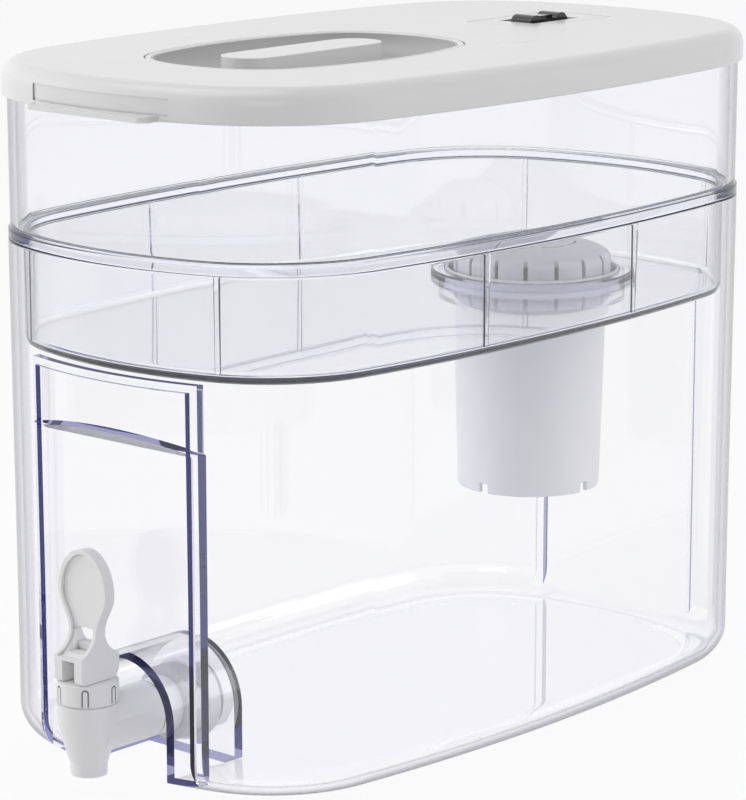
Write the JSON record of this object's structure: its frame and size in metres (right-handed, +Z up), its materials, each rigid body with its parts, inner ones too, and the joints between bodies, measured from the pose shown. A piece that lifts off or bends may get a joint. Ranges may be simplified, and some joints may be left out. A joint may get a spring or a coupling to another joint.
{
  "type": "gravity water filter with tap",
  "caption": "Clear gravity water filter: a reservoir with an oval lid nests in a lower tank, with a hanging filter cartridge and a lever tap at one end.",
  "frame": {"origin": "middle of the whole object's outline from above, tap included, on the plane its foot ring rests on", "axes": "+Z up, -Y towards the tap, +X across the tank"},
  "size_m": [0.193, 0.3468, 0.2726],
  "materials": {
    "clear_plastic": "clear, gloss",
    "white_plastic": "gloss",
    "dark_bowl": "satin",
    "grey_plastic": "satin",
    "black_plastic": "gloss",
    "seal_rubber": "matte",
    "gasket_rubber": "matte, pebbled",
    "carbon": "granular",
    "mesh_steel": "woven",
    "spring_steel": "drawn wire"
  },
  "bodies": {
    "base": {"lower_tank": "clear_plastic", "tap_body": "grey_plastic", "tap_collar": "grey_plastic", "tap_spring": "spring_steel", "shank_spacer": "grey_plastic", "outer_gasket": "gasket_rubber", "flange_washer": "grey_plastic", "inner_washer": "seal_rubber", "hex_nut": "grey_plastic", "inlet_screen": "grey_plastic"},
    "stem": {"valve_stem": "grey_plastic", "valve_plug": "seal_rubber", "lever_pin": "spring_steel"},
    "lever": {"tap_lever": "grey_plastic"},
    "reservoir": {"reservoir": "clear_plastic"},
    "cartridge": {"filter_housing": "grey_plastic", "filter_cap": "grey_plastic", "filter_seal": "seal_rubber", "filter_media": "carbon", "upper_mesh": "mesh_steel", "lower_mesh": "mesh_steel"},
    "lid": {"lid": "white_plastic", "indicator_plate": "white_plastic"},
    "rocker": {"indicator_rocker": "black_plastic"},
    "cover": {"fill_cover": "white_plastic", "fill_cover_bowl": "dark_bowl", "cover_seal": "seal_rubber"}
  },
  "joints": [
    {"name": "stem_lift", "type": "slide", "parent": "base", "child": "stem", "axis": [0, 0, 1], "range_m": [0, 0.0038], "stiffness_N_per_m": 150, "springref_m": -0.003, "deforming": ["tap_spring"]},
    {"name": "lever_tilt", "type": "hinge", "parent": "stem", "child": "lever", "pos_m": [0, -0.16157, 0.0492], "axis": [1, 0, 0], "range_deg": [0, 31]},
    {"name": "reservoir_lift", "type": "slide", "parent": "base", "child": "reservoir", "axis": [0, 0, 1], "range_m": [0, 0.135]},
    {"name": "cartridge_lift", "type": "slide", "parent": "reservoir", "child": "cartridge", "axis": [0, 0, 1], "range_m": [0, 0.08]},
    {"name": "lid_lift", "type": "slide", "parent": "reservoir", "child": "lid", "axis": [0, 0, 1], "range_m": [0, 0.03]},
    {"name": "cover_lift", "type": "slide", "parent": "lid", "child": "cover", "axis": [0, 0, 1], "range_m": [0, 0.02]},
    {"name": "rocker_tilt", "type": "hinge", "parent": "lid", "child": "rocker", "pos_m": [0, 0.10673, 0.2684], "axis": [1, 0, 0], "range_deg": [-6, 6]}
  ],
  "couplings": [
    {"joint": "lever_tilt", "follows": "stem_lift", "rad_per_m": 137.78}
  ]
}
